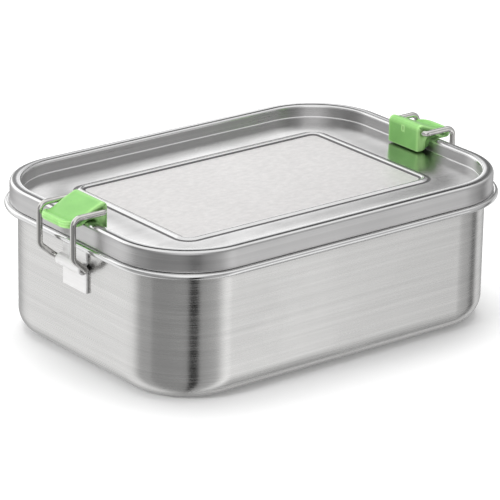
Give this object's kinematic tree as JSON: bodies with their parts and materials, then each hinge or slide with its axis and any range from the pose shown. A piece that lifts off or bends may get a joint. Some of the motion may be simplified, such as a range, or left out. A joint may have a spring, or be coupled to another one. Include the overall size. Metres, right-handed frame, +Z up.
{
  "type": "lunch box",
  "caption": "Stainless steel lunch box with round corners, a recessed lid with a seal, and a wire bail with a green plastic clip at each end.",
  "frame": {"origin": "middle of the footprint, on the surface that the box stands on", "axes": "+X along the length, towards the right latch; +Y along the width; +Z up"},
  "size_m": [0.2146, 0.1432, 0.0757],
  "materials": {
    "steel": "satin brushed, with polished bends and bead",
    "wire": "bright drawn wire",
    "clip_plastic": "semi-matt moulded polypropylene, light green",
    "seal": "matt silicone"
  },
  "bodies": {
    "box": {"tub": "steel", "left_bracket": "steel", "right_bracket": "steel"},
    "cover": {"lid": "steel", "gasket": "seal"},
    "left_wire": {"left_bail": "wire"},
    "right_wire": {"right_bail": "wire"},
    "left_catch": {"left_clip": "clip_plastic"},
    "right_catch": {"right_clip": "clip_plastic"}
  },
  "joints": [
    {"name": "lid_lift", "type": "slide", "parent": "box", "child": "cover", "axis": [0, 0, 1], "range_m": [0, 0.2]},
    {"name": "left_bail_swing", "type": "hinge", "parent": "box", "child": "left_wire", "pos_m": [-0.0968, 0, 0.0472], "axis": [0, -1, 0], "range_deg": [0, 130]},
    {"name": "right_bail_swing", "type": "hinge", "parent": "box", "child": "right_wire", "pos_m": [0.0968, 0, 0.0472], "axis": [0, 1, 0], "range_deg": [0, 130]},
    {"name": "left_clip_turn", "type": "hinge", "parent": "left_wire", "child": "left_catch", "pos_m": [-0.0883, 0, 0.0721], "axis": [0, -1, 0], "range_deg": [0, 90]},
    {"name": "right_clip_turn", "type": "hinge", "parent": "right_wire", "child": "right_catch", "pos_m": [0.0883, 0, 0.0721], "axis": [0, 1, 0], "range_deg": [0, 90]}
  ],
  "couplings": [
    {"joint": "left_bail_swing", "follows": "lid_lift", "rad_per_m": 11.345},
    {"joint": "right_bail_swing", "follows": "lid_lift", "rad_per_m": 11.345},
    {"joint": "left_clip_turn", "follows": "lid_lift", "rad_per_m": 7.854},
    {"joint": "right_clip_turn", "follows": "lid_lift", "rad_per_m": 7.854}
  ]
}
